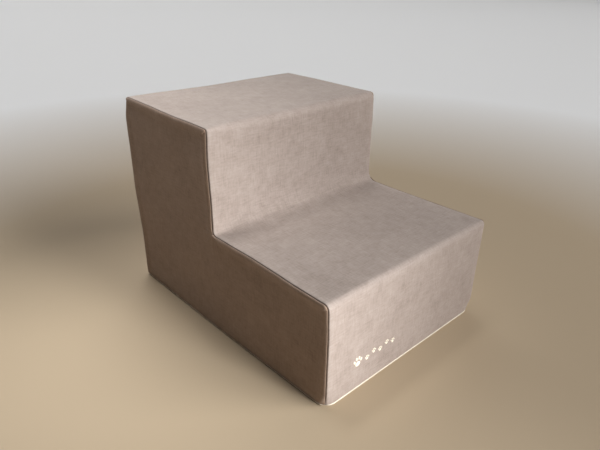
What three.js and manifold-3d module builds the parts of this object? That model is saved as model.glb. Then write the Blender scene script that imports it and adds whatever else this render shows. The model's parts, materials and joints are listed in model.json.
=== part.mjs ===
// Two-step pet stairs: a glued foam core in a sewn fabric cover that unzips at the back for washing.
// Millimetres. +Z is up, the animal climbs towards +Y, and the origin is on the floor, in the middle
// of the bounding box. The cover is made of cut panels whose seam allowances are turned inwards.
import * as THREE from "three";
import { mergeVertices } from "three/addons/utils/BufferGeometryUtils.js";
import Module from "manifold-3d";

const wasm = await Module();
wasm.setup();

// Driving dimensions, measured over the fabric.
const WIDTH = 400;
const DEPTH = 536;
const HEIGHT = 376;
const STEP_HEIGHT = 192; // top of the lower tread
const TREAD_DEPTH = 276; // lower tread, from the front face to the riser
const FOLD_RADIUS = 9; // where the fabric folds over a foam edge
const CREASE_RADIUS = 4; // where the riser meets the lower tread
const ARC_STEPS = 6;

// Cloth, and the gap that neighbouring pieces keep.
const FABRIC = 1.6;
const GAP = 0.3;
const RIDGE = 1.2; // how far the seam allowances lift the edge of a side panel
const RIDGE_WIDTH = 10;
const ALLOWANCE = RIDGE_WIDTH - 1 - GAP; // width of a turned-in seam allowance
const BASE_THICKNESS = 2.6;
const BASE_CORNER = 12;
const BASE_RIM = 1.2; // the base's own allowance, turned up inside the cover
const BASE_RIM_HEIGHT = 8;

// Coil zip, across the back face.
const ZIP_HEIGHT = 42; // centre of the chain above the floor
const ZIP_OPENING = 4.6; // half of the gap between the two cloth edges
const TAPE = 0.6;
const TAPE_WIDTH = 14.5;
const CHAIN_SPLIT = 0.6; // half of the gap between the two coils
const COIL_WIDTH = 2.3;
const COIL_DEPTH = 2;
const SLIDER_TRAVEL = 350; // the slider parks at the -X end, where the zip is closed
const SLIDER_LENGTH = 11;
const SLIDER_HALF_WIDTH = 4.1;
const SLIDER_PLATE = 1.2;
const POST_HALF = 0.3; // the post between the plates runs between the coils
const BRIDGE_HALF_LENGTH = 3.6;
const BRIDGE_HALF_WIDTH = 0.8;
const BRIDGE_BAR = 0.8;
const PULL_LENGTH = 25;
const PULL_HALF_WIDTH = 3.2;
const PULL_THICKNESS = 1;
const TACK_AT = 185; // distance of each bar tack from the middle

// Care label, sewn into the left seam of the strip under the zip.
const LABEL_LENGTH = 46;
const LABEL_WIDTH = 22;
const LABEL_THICKNESS = 0.5;

// Levels out from the back face, for the parts of the zip.
const COIL_FACE = COIL_DEPTH - FABRIC;
const PLATE_IN = COIL_FACE + 0.4;
const PLATE_OUT = PLATE_IN + SLIDER_PLATE;
const PIVOT_OUT = PLATE_OUT + 0.9;
const BRIDGE_IN = PIVOT_OUT + 0.9;
const ZIP_PROUD = BRIDGE_IN + BRIDGE_BAR;
const TAPE_OUT = -FABRIC - GAP;
const TAPE_IN = TAPE_OUT - TAPE;
const FOOT_OUT = TAPE_IN - GAP;
const FOOT_IN = FOOT_OUT - SLIDER_PLATE;

// Planes that several pieces share. The zip stands proud, so the cloth box is set forward by half of that.
const FRONT = -(DEPTH + ZIP_PROUD) / 2;
const BACK = FRONT + DEPTH;
const RISER = FRONT + TREAD_DEPTH;
const SIDE = WIDTH / 2;
const STRIP_SIDE = SIDE - FABRIC - GAP;
const CORE_SIDE = STRIP_SIDE - FABRIC - GAP;
const CORE_INSET = FABRIC + GAP;
const CORE_BACK = BACK - 2 * (FABRIC + GAP);
const COVER_BOTTOM = BASE_THICKNESS + GAP;
const RIM_INSET = SIDE - CORE_SIDE;
const CORE_SPLIT = STEP_HEIGHT - CORE_INSET;
const SLIDER_START = -SLIDER_TRAVEL / 2;
const BELOW = -10; // well under the cover, for cutters

const CLOTH = { color: 0xb09d90, roughness: 0.95, metalness: 0 };
const BASE_CLOTH = { color: 0xe6dcc9, roughness: 0.9, metalness: 0 };
const FOAM = { color: 0xe9e4d2, roughness: 1, metalness: 0 };
const NYLON = { color: 0x6f5d50, roughness: 0.6, metalness: 0 };
const ZINC = { color: 0x8f8a84, roughness: 0.35, metalness: 1 };
const SATIN = { color: 0xf1efe9, roughness: 0.6, metalness: 0 };

function solid(geometry) {
  const bare = geometry.index ? geometry.toNonIndexed() : geometry.clone();
  bare.deleteAttribute("normal");
  bare.deleteAttribute("uv");
  const merged = mergeVertices(bare, 1e-3);
  return new wasm.Manifold(
    new wasm.Mesh({
      numProp: 3,
      vertProperties: merged.attributes.position.array,
      triVerts: new Uint32Array(merged.index.array),
    }),
  );
}

function piece(name, shape, material) {
  const made = shape.getMesh();
  const geometry = new THREE.BufferGeometry();
  geometry.setAttribute("position", new THREE.BufferAttribute(made.vertProperties, 3));
  geometry.setIndex(new THREE.BufferAttribute(made.triVerts, 1));
  geometry.computeVertexNormals();
  const mesh = new THREE.Mesh(geometry, new THREE.MeshStandardMaterial(material));
  mesh.name = name;
  return mesh;
}

// A block from one corner to the opposite one.
function block(from, to) {
  const size = to.map((v, i) => v - from[i]);
  const middle = to.map((v, i) => (v + from[i]) / 2);
  return solid(new THREE.BoxGeometry(...size).translate(...middle));
}

// A side outline, drawn in (y, z), pulled along X.
function across(outline, fromX, toX) {
  const settings = { depth: toX - fromX, bevelEnabled: false, curveSegments: ARC_STEPS };
  const turn = new THREE.Matrix4().set(0, 0, 1, fromX, 1, 0, 0, 0, 0, 1, 0, 0, 0, 0, 0, 1);
  return solid(new THREE.ExtrudeGeometry(outline, settings).applyMatrix4(turn));
}

// An outline drawn in (x, z), pulled along Y.
function outward(outline, fromY, toY) {
  const settings = { depth: toY - fromY, bevelEnabled: false, curveSegments: ARC_STEPS };
  const turn = new THREE.Matrix4().set(1, 0, 0, 0, 0, 0, -1, toY, 0, 1, 0, 0, 0, 0, 0, 1);
  return solid(new THREE.ExtrudeGeometry(outline, settings).applyMatrix4(turn));
}

function roundedRectangle(x0, y0, x1, y1, radius) {
  const shape = new THREE.Shape();
  shape.moveTo(x0 + radius, y0);
  shape.absarc(x1 - radius, y0 + radius, radius, -Math.PI / 2, 0, false);
  shape.absarc(x1 - radius, y1 - radius, radius, 0, Math.PI / 2, false);
  shape.absarc(x0 + radius, y1 - radius, radius, Math.PI / 2, Math.PI, false);
  shape.absarc(x0 + radius, y0 + radius, radius, Math.PI, 1.5 * Math.PI, false);
  shape.closePath();
  return shape;
}

// The stairs seen from the side, drawn inset from the face of the fabric, down to a level.
function stepOutline(inset, bottom) {
  const front = FRONT + inset;
  const back = BACK - inset;
  const riser = RISER + inset;
  const top = HEIGHT - inset;
  const tread = STEP_HEIGHT - inset;
  const fold = Math.max(FOLD_RADIUS - inset, 0.5);
  const crease = CREASE_RADIUS + inset;
  const shape = new THREE.Shape();
  shape.moveTo(back, bottom);
  shape.lineTo(back, top);
  shape.absarc(riser + fold, top - fold, fold, Math.PI / 2, Math.PI, false);
  shape.absarc(riser - crease, tread + crease, crease, 0, -Math.PI / 2, true);
  shape.absarc(front + fold, tread - fold, fold, Math.PI / 2, Math.PI, false);
  shape.lineTo(front, bottom);
  shape.closePath();
  return shape;
}

// A ring of the side outline between two insets, open at the bottom.
function outlineBand(outer, inner, fromX, toX) {
  const whole = across(stepOutline(outer, COVER_BOTTOM), fromX, toX);
  return whole.subtract(across(stepOutline(inner, BELOW), fromX - 1, toX + 1));
}

// An upright band that follows the floor outline, between two insets from it.
function floorBand(outer, inner, bottom, top) {
  const wall = (inset) => floorPlate(inset, bottom, top);
  return wall(outer).subtract(wall(inner));
}

function floorPlate(inset, bottom, top) {
  const corner = Math.max(BASE_CORNER - inset, 1);
  const outline = roundedRectangle(-SIDE + inset, FRONT + inset, SIDE - inset, BACK - inset, corner);
  const settings = { depth: top - bottom, bevelEnabled: false, curveSegments: ARC_STEPS };
  return solid(new THREE.ExtrudeGeometry(outline, settings).translate(0, 0, bottom));
}

// Foam core: a full-depth slab with a second block glued on its rear half.
function coreBaseBlock() {
  const inner = across(stepOutline(CORE_INSET, COVER_BOTTOM), -CORE_SIDE, CORE_SIDE);
  const slab = block([-SIDE, FRONT, BELOW], [SIDE, CORE_BACK, CORE_SPLIT]);
  return inner.intersect(slab).subtract(zipRelief()).subtract(rimRelief());
}

function coreTopBlock() {
  const inner = across(stepOutline(CORE_INSET, COVER_BOTTOM), -CORE_SIDE, CORE_SIDE);
  return inner.intersect(
    block([-SIDE, RISER + CORE_INSET, CORE_SPLIT + GAP], [SIDE, CORE_BACK, HEIGHT]),
  );
}

// The shallow channel that the zip presses into the foam.
function zipRelief() {
  const half = SLIDER_HALF_WIDTH + 1;
  return block(
    [-SIDE, BACK + FOOT_IN - GAP, ZIP_HEIGHT - half],
    [SIDE, BACK, ZIP_HEIGHT + half],
  );
}

// The step around the foot of the foam, where the rim of the base sits.
function rimRelief() {
  const top = BASE_THICKNESS + BASE_RIM_HEIGHT + GAP;
  return floorBand(-1, RIM_INSET + BASE_RIM + GAP, BELOW, top);
}

// One strip of cloth over the front face, lower tread, riser and upper tread, with its edges turned in.
function stepStrip() {
  const end = BACK - FABRIC - GAP;
  const cloth = outlineBand(0, FABRIC, -STRIP_SIDE, STRIP_SIDE);
  const flanges = [-1, 1].map((side) => {
    const xs = [side * STRIP_SIDE, side * (STRIP_SIDE - FABRIC)].sort((a, b) => a - b);
    return outlineBand(0, ALLOWANCE, ...xs);
  });
  const rearFlange = block(
    [-STRIP_SIDE, end - FABRIC, HEIGHT - ALLOWANCE],
    [STRIP_SIDE, end, HEIGHT - FABRIC / 2],
  );
  const backWall = block([-SIDE, end, BELOW], [SIDE, BACK + 1, HEIGHT + 1]);
  const backFlanges = block(
    [-SIDE, BACK - ALLOWANCE - 1, BELOW],
    [SIDE, BACK + 1, HEIGHT - ALLOWANCE],
  );
  return cloth
    .add(flanges[0])
    .add(flanges[1])
    .subtract(backFlanges)
    .add(rearFlange)
    .subtract(backWall);
}

// A side panel: flat cloth, lifted along its sewn edges by the allowances behind it.
function sidePanel(side) {
  const xs = (a, b) => [side * a, side * b].sort((p, q) => p - q);
  const ridge = outlineBand(0, RIDGE_WIDTH, ...xs(SIDE - FABRIC, SIDE));
  const flat = across(
    stepOutline(RIDGE_WIDTH - 1, COVER_BOTTOM),
    ...xs(SIDE - RIDGE - FABRIC, SIDE - RIDGE),
  );
  return ridge.add(flat);
}

// Back cloth between two levels, with both side edges turned in.
function backCloth(bottom, top, flangeTop) {
  const cloth = block([-STRIP_SIDE, BACK - FABRIC, bottom], [STRIP_SIDE, BACK, top]);
  return [-1, 1].reduce((made, side) => {
    const xs = [side * STRIP_SIDE, side * (STRIP_SIDE - FABRIC)].sort((a, b) => a - b);
    return made.add(block([xs[0], BACK - ALLOWANCE, bottom], [xs[1], BACK, flangeTop]));
  }, cloth);
}

function basePanel() {
  const top = BASE_THICKNESS + BASE_RIM_HEIGHT;
  const rim = floorBand(RIM_INSET, RIM_INSET + BASE_RIM, BASE_THICKNESS / 2, top);
  return floorPlate(0, 0, BASE_THICKNESS).add(rim);
}

// Zip parts: side is 1 above the chain and -1 below it.
function zipTape(side) {
  const zs = [CHAIN_SPLIT, TAPE_WIDTH].map((z) => ZIP_HEIGHT + side * z).sort((a, b) => a - b);
  return block([-CORE_SIDE, BACK + TAPE_IN, zs[0]], [CORE_SIDE, BACK + TAPE_OUT, zs[1]]);
}

function zipCoil(side) {
  const zs = [CHAIN_SPLIT, CHAIN_SPLIT + COIL_WIDTH].map((z) => ZIP_HEIGHT + side * z);
  zs.sort((a, b) => a - b);
  return block([-CORE_SIDE, BACK - FABRIC, zs[0]], [CORE_SIDE, BACK + COIL_FACE, zs[1]]);
}

function barTack(side) {
  const half = 1.2;
  return block(
    [side * TACK_AT - half, BACK + COIL_FACE + GAP, ZIP_HEIGHT - ZIP_OPENING],
    [side * TACK_AT + half, BACK + COIL_FACE + GAP + 0.6, ZIP_HEIGHT + ZIP_OPENING],
  );
}

// The slider's plates clasp the chain from both sides and are joined by a post at its leading end.
function zipSlider() {
  const half = SLIDER_LENGTH / 2;
  const wide = SLIDER_HALF_WIDTH;
  const plan = roundedRectangle(-half, -wide, half, wide, 2.4);
  const outer = outward(plan, PLATE_IN, PLATE_OUT);
  const foot = outward(plan, FOOT_IN, FOOT_OUT);
  const post = block([-half + 0.8, FOOT_OUT - 0.2, -POST_HALF], [-half + 3.2, PLATE_IN + 0.2, POST_HALF]);
  const lips = [-1, 1].map((side) => {
    const zs = [side * (wide - 0.8), side * wide].sort((a, b) => a - b);
    return block([-half + 2.6, -0.9, zs[0]], [half - 2.6, PLATE_IN + 0.2, zs[1]]);
  });
  const legs = [-1, 1].map((end) => {
    const xs = [end * BRIDGE_HALF_LENGTH, end * (BRIDGE_HALF_LENGTH - 1.2)].sort((a, b) => a - b);
    return block(
      [xs[0], PLATE_OUT - 0.2, -BRIDGE_HALF_WIDTH],
      [xs[1], BRIDGE_IN + 0.2, BRIDGE_HALF_WIDTH],
    );
  });
  const bar = block(
    [-BRIDGE_HALF_LENGTH, BRIDGE_IN, -BRIDGE_HALF_WIDTH],
    [BRIDGE_HALF_LENGTH, ZIP_PROUD, BRIDGE_HALF_WIDTH],
  );
  return [foot, post, ...lips, ...legs, bar].reduce((made, p) => made.add(p), outer);
}

// The pull lies flat along the chain. Its round bar turns under the slider's bridge.
function zipPull() {
  const bar = 0.5;
  const wide = PULL_HALF_WIDTH;
  const plan = roundedRectangle(-bar, -wide, PULL_LENGTH, wide, 0.45);
  const tip = new THREE.Path();
  tip.absarc(PULL_LENGTH - wide, 0, 1.5, 0, 2 * Math.PI, true);
  plan.holes.push(tip);
  const low = PIVOT_OUT - PULL_THICKNESS / 2;
  const high = PIVOT_OUT + PULL_THICKNESS / 2;
  const window = block([bar, low - 1, -1.4], [BRIDGE_HALF_LENGTH + 1, high + 1, 1.4]);
  return outward(plan, low, high).subtract(window);
}

function careLabel() {
  const from = [-STRIP_SIDE + 1, BACK + GAP, COVER_BOTTOM + 6];
  return block(from, [
    from[0] + LABEL_LENGTH,
    from[1] + LABEL_THICKNESS,
    from[2] + LABEL_WIDTH,
  ]);
}

const stairs = new THREE.Group();

stairs.add(
  piece("core_base_block", coreBaseBlock(), FOAM),
  piece("core_top_block", coreTopBlock(), FOAM),
  piece("cover_step_strip", stepStrip(), CLOTH),
  piece("cover_left_side", sidePanel(-1), CLOTH),
  piece("cover_right_side", sidePanel(1), CLOTH),
  piece(
    "cover_back_panel",
    backCloth(ZIP_HEIGHT + ZIP_OPENING, HEIGHT, HEIGHT - ALLOWANCE - GAP),
    CLOTH,
  ),
  piece(
    "cover_back_lower_strip",
    backCloth(COVER_BOTTOM, ZIP_HEIGHT - ZIP_OPENING, ZIP_HEIGHT - ZIP_OPENING),
    CLOTH,
  ),
  piece("base_panel", basePanel(), BASE_CLOTH),
  piece("zip_tape_upper", zipTape(1), NYLON),
  piece("zip_tape_lower", zipTape(-1), NYLON),
  piece("zip_coil_upper", zipCoil(1), NYLON),
  piece("zip_coil_lower", zipCoil(-1), NYLON),
  piece("zip_bar_tack_left", barTack(-1), NYLON),
  piece("zip_bar_tack_right", barTack(1), NYLON),
  piece("care_label", careLabel(), SATIN),
);

// The slider runs along the chain, and the pull turns on it.
const slider = new THREE.Group();
slider.position.set(SLIDER_START, BACK, ZIP_HEIGHT);
slider.add(piece("zip_slider", zipSlider(), ZINC), piece("zip_pull_tab", zipPull(), ZINC));
stairs.add(slider);

export default stairs;
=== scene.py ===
import json
import math

import bmesh
import bpy
import numpy as np
from mathutils import Matrix, Vector, noise
from mathutils.geometry import delaunay_2d_cdt


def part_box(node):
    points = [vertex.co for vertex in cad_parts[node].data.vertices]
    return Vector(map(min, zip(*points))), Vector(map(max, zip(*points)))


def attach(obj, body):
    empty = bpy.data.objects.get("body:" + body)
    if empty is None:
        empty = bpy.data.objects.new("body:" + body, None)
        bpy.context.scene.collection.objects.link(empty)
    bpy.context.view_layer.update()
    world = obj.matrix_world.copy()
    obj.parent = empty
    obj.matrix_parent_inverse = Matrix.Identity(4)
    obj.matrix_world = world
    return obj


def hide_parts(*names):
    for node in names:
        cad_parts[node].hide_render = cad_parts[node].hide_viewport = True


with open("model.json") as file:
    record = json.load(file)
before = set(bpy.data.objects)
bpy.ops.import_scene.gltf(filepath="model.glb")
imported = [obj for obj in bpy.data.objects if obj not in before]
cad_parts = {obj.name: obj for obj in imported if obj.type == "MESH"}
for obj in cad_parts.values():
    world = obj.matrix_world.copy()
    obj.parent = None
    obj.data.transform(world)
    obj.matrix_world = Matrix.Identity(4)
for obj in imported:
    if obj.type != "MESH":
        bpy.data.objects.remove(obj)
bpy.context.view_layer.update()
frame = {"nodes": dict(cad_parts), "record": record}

MM = 0.001

# ---------------------- sizes, all read from the frame
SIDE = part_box("base_panel")[1].x
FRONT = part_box("base_panel")[0].y
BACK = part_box("base_panel")[1].y
TREADS = {m["name"]: m["pos_m"] for m in frame["record"]["mounts"]}
STEP = TREADS["lower_tread"][2]
HEIGHT = TREADS["upper_tread"][2]
RISER = 2 * TREADS["lower_tread"][1] - FRONT
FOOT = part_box("cover_step_strip")[0].z
ZIP_HEIGHT = (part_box("zip_coil_upper")[0].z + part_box("zip_coil_lower")[1].z) / 2
UPPER_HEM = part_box("cover_back_panel")[0].z
LOWER_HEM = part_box("cover_back_lower_strip")[1].z

# ---------------------- shapes of the cloth, all chosen
FOLDS = (8 * MM, 13 * MM)  # radius of the cloth over the lower and upper front edges
TIGHT_FOLDS = (10 * MM, 6.5 * MM)  # the same at the left seam, where the upper edge is pulled tight
FOLD_SOFTENS = (4 * MM, 55 * MM)  # distances from the left seam between which one turns into the other
CREASE = 1.5 * MM  # radius where the riser meets the lower tread, under the bridging cloth
BRIDGE = (7 * MM, 48 * MM, 22 * MM)  # reach of the bridging at the left seam, mid-width and the right seam
BRIDGE_GROWS = (4 * MM, 90 * MM)  # distances from a seam between which the reach changes
CORNER = 4 * MM  # radius at the foot and at the rear edge of the side panels
CLOTH = 0.9 * MM  # thickness
PITCH = 5 * MM  # spacing of the mesh on flat cloth
ARC_POINTS = 9

# Sections through a seam, in mm: how far in from the side face, and how far below the face of the cloth.
# The strip dives into the seam, and the side panel rises out of it and turns down the side. It rolls
# further over level edges than over upright ones.
TUCK = [(1.3, 4.0), (1.25, 2.6), (1.3, 1.5), (1.5, 0.7), (2.0, 0.22), (2.9, 0.04), (4.5, 0), (7, 0)]
LIP_LEVEL = [(0.3, 4.0), (0.2, 2.6), (0.0, 1.6), (-0.45, 1.0), (-1.1, 0.9), (-1.75, 1.25), (-2.35, 2.0),
             (-2.8, 3.1), (-3.05, 4.6), (-3.0, 6.6), (-2.6, 8.8), (-2.1, 11)]
LIP_UPRIGHT = [(0.3, 4.2), (0.2, 3.6), (0.05, 3.0), (-0.2, 2.5), (-0.5, 2.45), (-0.75, 2.8), (-1.0, 3.5),
               (-1.25, 4.4), (-1.45, 5.5), (-1.65, 7.0), (-1.8, 8.8), (-1.8, 11)]
LIP_END = 11 * MM
RIDGE = (1.8 * MM, 0.8 * MM)  # how far the cloth stands out beside the seam, and over the main face
RIDGE_SLOPE = (10 * MM, 20 * MM)  # distances from the edge between which it falls from one to the other


def smooth(x, low, high):
    t = np.clip((x - low) / (high - low), 0, 1)
    return t * t * (3 - 2 * t)


def fading(distance, reach):
    """1 at no distance, falling off as a bell curve."""
    return np.exp(-((distance / reach) ** 2))


def circle(sides):
    """The cosine and sine of evenly spaced angles."""
    return [(math.cos(a), math.sin(a)) for a in np.arange(sides) * 2 * math.pi / sides]


def spread(start, end, pitch):
    """Even places from start to end, about a pitch apart."""
    return np.linspace(start, end, int((end - start) / pitch) + 1)


def run_along(path):
    """Distance along a path at each of its points."""
    return np.concatenate([[0], np.cumsum(np.linalg.norm(np.diff(path, axis=0), axis=1))])


# ---------------------- outlines
def outline(corners, inset=0.0, pitch=PITCH, closed=True):
    """Points and outward normals along a rounded outline in (y, z), drawn clockwise."""
    points, normals, count = [], [], len(corners)
    spots = [np.array(c[:2]) for c in corners]

    def unit(a, b):
        v = spots[b % count] - spots[a % count]
        return v / np.linalg.norm(v)

    def left(v):
        return np.array([-v[1], v[0]])

    def arc(k):
        """A corner's arc, or the bare end of an open outline."""
        if not closed and k in (0, count - 1):
            n = left(unit(k, k + 1) if k == 0 else unit(k - 1, k))
            return [spots[k] - n * inset], [n]
        before, after, radius = left(unit(k - 1, k)), left(unit(k, k + 1)), corners[k][2]
        turn = before[0] * after[1] - before[1] * after[0]
        ns = [math.cos(a) * before + math.sin(a) * after for a in np.linspace(0, math.pi / 2, ARC_POINTS)]
        if turn > 0:
            middle = spots[k] + (before + after) * radius
            return [middle - n * (radius + inset) for n in ns], ns
        radius = max(radius, inset + 0.4 * MM)
        middle = spots[k] - (before + after) * radius
        return [middle + n * (radius - inset) for n in ns], ns

    arcs = [arc(k) for k in range(count)]
    for k in range(count):
        points += arcs[k][0]
        normals += arcs[k][1]
        if closed or k < count - 1:
            start, end = arcs[k][0][-1], arcs[(k + 1) % count][0][0]
            run = np.linalg.norm(spots[(k + 1) % count] - spots[k])
            number = max(int(run / pitch), 1)
            n = left(unit(k, k + 1))
            for i in range(1, number):
                points.append(start + (end - start) * i / number)
                normals.append(n)
    return np.array(points), np.array(normals)


def strip_corners(folds):
    low, high = folds
    middle = [(FRONT, STEP, low), (RISER, STEP, CREASE), (RISER, HEIGHT, high)]
    return [(FRONT, FOOT, 0), *middle, (BACK, HEIGHT, 0)]


def side_corners(folds):
    middle = strip_corners(folds)[1:-1]
    return [(FRONT, FOOT, CORNER), *middle, (BACK, HEIGHT, CORNER), (BACK, FOOT, CORNER)]


soft_path, soft_normals = outline(strip_corners(FOLDS), pitch=MM, closed=False)
tight_path, tight_normals = outline(strip_corners(TIGHT_FOLDS), pitch=MM, closed=False)
strip_run = run_along(soft_path)
STRIP_LENGTH = strip_run[-1]


def on_strip(run, x):
    """Place and outward normal in (y, z), at a distance along the strip from its front hem and at x."""
    soft = smooth(SIDE + x, *FOLD_SOFTENS)

    def mixed(softer, tighter):
        both = [[np.interp(run, strip_run, path[:, i]) for i in (0, 1)] for path in (softer, tighter)]
        return np.array(both[0]) * soft + np.array(both[1]) * (1 - soft)

    normal = mixed(soft_normals, tight_normals)
    return mixed(soft_path, tight_path), normal / np.linalg.norm(normal, axis=0)


# ---------------------- the warp that all soft pieces share
def ripple(points, wavelength, seed):
    """Smooth noise, about -1 to 1, at each point."""
    shift = Vector((seed * 7.1, seed * 3.7, seed * 5.3))
    return np.array([noise.noise(Vector(p) / wavelength + shift) for p in points])


def bump(points, middle, reach):
    """1 at a place, falling smoothly to 0 at the given reach along each axis."""
    away = (points - np.array(middle)) / np.array(reach)
    return np.clip(1 - (away**2).sum(axis=1), 0, None) ** 2


def bridging(x, y, z):
    """Where the riser meets the tread the cloth cuts the corner, more so away from the left seam."""
    left, middle, right = BRIDGE
    reach = left + (middle - left) * smooth(SIDE + x, *BRIDGE_GROWS)
    reach -= (middle - right) * smooth(x, SIDE - BRIDGE_GROWS[1], SIDE)
    lift = 0.25 * reach * np.clip(1 - np.hypot(y - RISER, z - STEP) / reach, 0, 1) ** 2
    return np.stack([np.zeros_like(lift), -lift, lift], axis=1)


# Where the foam and the loose cloth leave the square block: along which axis, how far, the middle, and
# the reach along x, y and z.
ABOVE_STEP = (0.1, 0.075, 0.085)
NEAR_CORNER = (0.06, 0.17, 0.08)
SWELLINGS = [
    (0, -2.4 * MM, (-SIDE, RISER, STEP + 0.125), ABOVE_STEP),
    (0, 1.0 * MM, (SIDE, RISER, STEP + 0.125), ABOVE_STEP),
    (0, 2.2 * MM, (SIDE, FRONT, STEP - 0.02), (0.1, 0.1, 0.12)),
    (0, -2.4 * MM, (-SIDE, FRONT + 0.03, STEP), NEAR_CORNER),
    (2, -2.4 * MM, (-SIDE, FRONT + 0.03, STEP), NEAR_CORNER),
    (2, 3.6 * MM, (-SIDE, BACK, HEIGHT), (0.22, 0.16, 0.07)),
]
REAR_LEFT_SWELLS = 3.0 * MM
BACK_SWELLS = 5.5 * MM
FOOT_SWELLS = (2.2 * MM, (0.12, 0.28, 0.09))  # how far the foot of the left side stands out, and the reach


def swelling(x, y, z):
    """The foam pushes the sides and back out where the cover is loose."""
    p = np.stack([x, y, z], axis=1)
    out = np.zeros_like(p)
    for axis, amount, middle, reach in SWELLINGS:
        out[:, axis] += amount * bump(p, middle, reach)
    # the back and the rear of the left side belly out, less towards the foot and the top edge
    belly = smooth(HEIGHT - z, -0.004, 0.04) * smooth(z, 0, 0.2) * (1 - smooth(BACK - y, 0, 0.12))
    out[:, 0] -= REAR_LEFT_SWELLS * belly * (1 - smooth(SIDE + x, 0, 0.1))
    out[:, 1] += BACK_SWELLS * belly * (0.55 - 0.45 * x / SIDE)
    return out


# Foam and cloth are never quite square: per axis, a long and a short wavelength and how far each goes.
UNEVEN = [((0.16, 1.1 * MM), (0.035, 0.35 * MM)), ((0.18, 1.1 * MM), (0.04, 0.3 * MM)),
          ((0.15, 0.9 * MM), (0.035, 0.25 * MM))]
DRAWN_REACH = 22.5 * MM  # the upright corners are drawn in towards the rounded base, within this reach
DRAWN_IN = 5.4 * MM


def drawn_in(x, y, z, free):
    """How far the foot of each upright corner is pulled in, in x and y."""
    pulled = np.zeros((len(x), 3))
    low = 1 - smooth(z, 0.002, 0.03)
    for sx in (-1, 1):
        for corner_y, sy in ((FRONT, -1), (BACK, 1)):
            away = np.hypot(SIDE - sx * x, corner_y - y) / DRAWN_REACH
            pull = DRAWN_IN * np.clip(1 - away, 0, 1) ** 2 * low * (1 if sy < 0 else free)
            pulled[:, 0] -= sx * pull
            pulled[:, 1] -= sy * pull
    return pulled


def warp(points):
    """Moves points of the cover, foam or base by up to a few millimetres, and leaves the zip straight."""
    p = np.array(points, float)
    x, y, z = p.T
    off_zip = smooth(BACK - y, 0.03, 0.09) + smooth(abs(z - ZIP_HEIGHT), 0.02, 0.17)
    free = np.clip(off_zip, 0, 1) * smooth(z, 0, 0.02)
    moved = p.copy()
    for axis, waves in enumerate(UNEVEN):
        for k, (wavelength, amount) in enumerate(waves):
            moved[:, axis] += free * amount * ripple(p, wavelength, 2 * axis + k + 1)
    moved += drawn_in(x, y, z, free) + swelling(x, y, z) * free[:, None] + bridging(x, y, z)
    amount, reach = FOOT_SWELLS
    moved[:, 0] -= amount * bump(p, (-SIDE, (FRONT + BACK) / 2, 0), reach)
    return moved


# ---------------------- mesh helpers
def shown(name, mesh, material):
    """Puts a mesh in the scene, smooth shaded and with one material."""
    obj = bpy.data.objects.new(name, mesh)
    bpy.context.scene.collection.objects.link(obj)
    mesh.materials.append(material)
    for p in mesh.polygons:
        p.use_smooth = True
    return obj


def finished(name, verts, faces, material):
    mesh = bpy.data.meshes.new(name)
    mesh.from_pydata([tuple(v) for v in verts], [], [tuple(f) for f in faces])
    mesh.validate()
    return shown(name, mesh, material)


def many(name, parts, material):
    """Joins lists of verts and faces into one object."""
    verts, faces = [], []
    for vs, fs in parts:
        faces += [tuple(i + len(verts) for i in f) for f in fs]
        verts += list(vs)
    return finished(name, verts, faces, material)


def apply_modifiers(obj):
    graph = bpy.context.evaluated_depsgraph_get()
    made = bpy.data.meshes.new_from_object(obj.evaluated_get(graph))
    obj.modifiers.clear()
    old = obj.data
    obj.data = made
    bpy.data.meshes.remove(old)


def thickened(obj, thickness=CLOTH, offset=-1):
    """Gives a surface its thickness: inwards, or outwards with an offset of 1."""
    solid = obj.modifiers.new("thickness", "SOLIDIFY")
    solid.thickness, solid.offset = thickness, offset
    apply_modifiers(obj)
    return obj


def grid_faces(rows, columns, flip=False, closed=False):
    faces = []
    for i in range(rows - 1):
        for j in range(columns if closed else columns - 1):
            k = (j + 1) % columns
            quad = (i * columns + j, i * columns + k, (i + 1) * columns + k, (i + 1) * columns + j)
            faces.append(quad[::-1] if flip else quad)
    return faces


# ---------------------- cloth simulation
SIM_PITCH = 10 * MM
SIM_FRAMES = 20
SLACK = (1.4 * MM, 1.8 * MM)  # the furthest that the strip moves, and the sides and back
CLOTH_SETTINGS = {
    "quality": 6, "mass": 0.15, "tension_stiffness": 25, "compression_stiffness": 25, "shear_stiffness": 12,
    "bending_stiffness": 4, "air_damping": 6, "vertex_group_mass": "held", "use_pressure": True,
    "uniform_pressure_force": 0.6,
}


def coarse(start, end):
    return np.linspace(start, end, int((end - start) / SIM_PITCH))


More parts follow.
